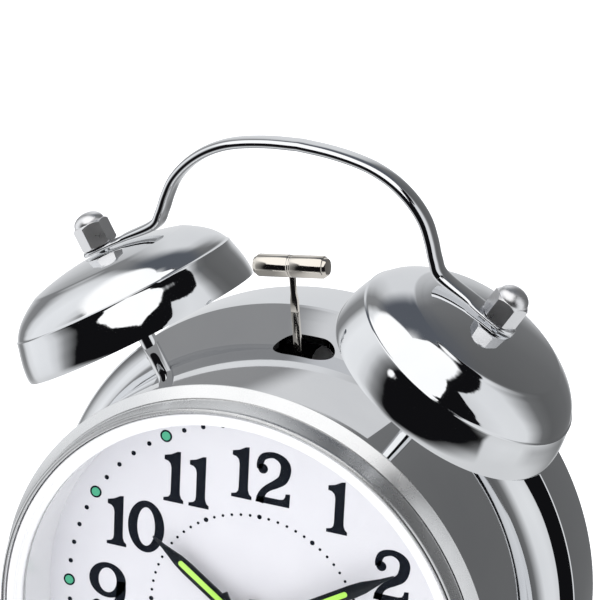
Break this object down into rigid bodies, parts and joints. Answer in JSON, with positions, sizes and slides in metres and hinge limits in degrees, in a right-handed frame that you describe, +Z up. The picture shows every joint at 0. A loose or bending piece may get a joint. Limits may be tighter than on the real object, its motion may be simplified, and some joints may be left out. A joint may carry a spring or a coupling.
{
  "type": "twin bell alarm clock",
  "caption": "Free-standing battery alarm clock: polished drum case, two bells on posts under a carrying handle, swinging hammer, white dial with glowing hands.",
  "frame": {"origin": "on the table, midway between the sides and midway between the bezel front and the knob ends", "axes": "+X to the right seen from the front, +Y from the dial into the clock, +Z up"},
  "size_m": [0.117, 0.0602, 0.1687],
  "materials": {
    "chrome": "mirror polished plating",
    "nickel": "bright nickel plating, slightly warm",
    "steel": "plain steel, semi-bright",
    "brass": "cut brass wheel",
    "white_plastic": "glossy white",
    "dial_white": "printed satin white",
    "hand_black": "satin black paint",
    "lume": "matt glow paint",
    "hand_silver": "satin metal",
    "lens_clear": "clear, polished",
    "black_plastic": "fine moulded texture",
    "cream_plastic": "plain moulded",
    "rubber": "matt",
    "cell_sleeve": "printed sleeve",
    "board_green": "laminate",
    "copper": "enamelled winding",
    "lamp_clear": "clear resin"
  },
  "bodies": {
    "clock": {"case_shell": "chrome", "front_bezel": "chrome", "rim_ring": "white_plastic", "front_lens": "lens_clear", "dial_wall": "white_plastic", "dial": "dial_white", "dial_lamp": "lamp_clear", "movement_base": "cream_plastic", "movement_cover": "black_plastic", "step_coil": "copper", "circuit_board": "board_green", "hammer_bracket": "steel", "hammer_pin": "steel", "hammer_coil": "copper", "handle": "chrome", "bell_left": "chrome", "bell_post_left": "chrome", "post_nut_left": "steel", "cap_nut_left": "chrome", "front_foot_left": "chrome", "foot_tip_left": "rubber", "bell_right": "chrome", "bell_post_right": "chrome", "post_nut_right": "steel", "cap_nut_right": "chrome", "front_foot_right": "chrome", "foot_tip_right": "rubber", "rear_foot": "chrome", "foot_tip_rear": "rubber", "back_cover": "black_plastic", "cover_screw_1": "steel", "cover_screw_2": "steel", "cover_screw_3": "steel", "battery_upper": "cell_sleeve", "battery_lower": "cell_sleeve", "contact_bridge": "steel", "contact_upper": "steel", "contact_lower": "steel"},
    "hammer": {"hammer_arm": "steel", "hammer_head": "nickel"},
    "alarm_dial": {"alarm_wheel": "brass", "alarm_hand": "hand_silver"},
    "hour_group": {"hour_wheel": "brass", "hour_hand": "hand_black", "hour_lume": "lume"},
    "minute_group": {"cannon_pinion": "brass", "minute_hand": "hand_black", "minute_lume": "lume"},
    "motion_wheel": {"minute_wheel": "cream_plastic"},
    "second_group": {"second_arbor": "steel", "second_hand": "hand_black"},
    "time_setter": {"time_key": "steel", "time_knob": "black_plastic"},
    "alarm_setter": {"alarm_key": "steel", "alarm_knob": "black_plastic"},
    "bay_door": {"battery_door": "black_plastic"},
    "alarm_slider": {"alarm_switch": "black_plastic"},
    "lamp_button": {"light_button": "white_plastic"}
  },
  "joints": [
    {"name": "hammer_swing", "type": "hinge", "parent": "clock", "child": "hammer", "pos_m": [0, 0.0033, 0.1148], "axis": [0, 1, 0], "range_deg": [-2.5, 17.9], "stiffness_Nm_per_rad": 0.004, "springref_deg": 1.09},
    {"name": "time_setting", "type": "hinge", "parent": "clock", "child": "time_setter", "pos_m": [-0.01913, -0.0156, 0.07892], "axis": [0, 1, 0], "continuous": true},
    {"name": "minute_turn", "type": "hinge", "parent": "clock", "child": "minute_group", "pos_m": [0, -0.0156, 0.0708], "axis": [0, 1, 0], "continuous": true},
    {"name": "hour_turn", "type": "hinge", "parent": "clock", "child": "hour_group", "pos_m": [0, -0.0156, 0.0708], "axis": [0, 1, 0], "continuous": true},
    {"name": "motion_wheel_turn", "type": "hinge", "parent": "clock", "child": "motion_wheel", "pos_m": [-0.012, -0.0156, 0.06911], "axis": [0, 1, 0], "continuous": true},
    {"name": "second_turn", "type": "hinge", "parent": "clock", "child": "second_group", "pos_m": [0, -0.0156, 0.0708], "axis": [0, 1, 0], "continuous": true},
    {"name": "alarm_setting", "type": "hinge", "parent": "clock", "child": "alarm_setter", "pos_m": [0.01642, -0.0156, 0.07846], "axis": [0, 1, 0], "continuous": true},
    {"name": "alarm_turn", "type": "hinge", "parent": "clock", "child": "alarm_dial", "pos_m": [0, -0.0156, 0.0708], "axis": [0, 1, 0], "continuous": true},
    {"name": "battery_door_hinge", "type": "hinge", "parent": "clock", "child": "bay_door", "pos_m": [0, 0.023, 0.0349], "axis": [-1, 0, 0], "range_deg": [0, 85]},
    {"name": "alarm_switch_slide", "type": "slide", "parent": "clock", "child": "alarm_slider", "axis": [1, 0, 0], "range_m": [0, 0.007]},
    {"name": "light_button_press", "type": "slide", "parent": "clock", "child": "lamp_button", "axis": [0, -1, 0], "range_m": [0, 0.0015], "stiffness_N_per_m": 300}
  ],
  "couplings": [
    {"joint": "minute_turn", "follows": "time_setting", "ratio": 1},
    {"joint": "hour_turn", "follows": "time_setting", "ratio": 0.083333},
    {"joint": "motion_wheel_turn", "follows": "time_setting", "ratio": -0.33333},
    {"joint": "alarm_turn", "follows": "alarm_setting", "ratio": -0.25}
  ]
}
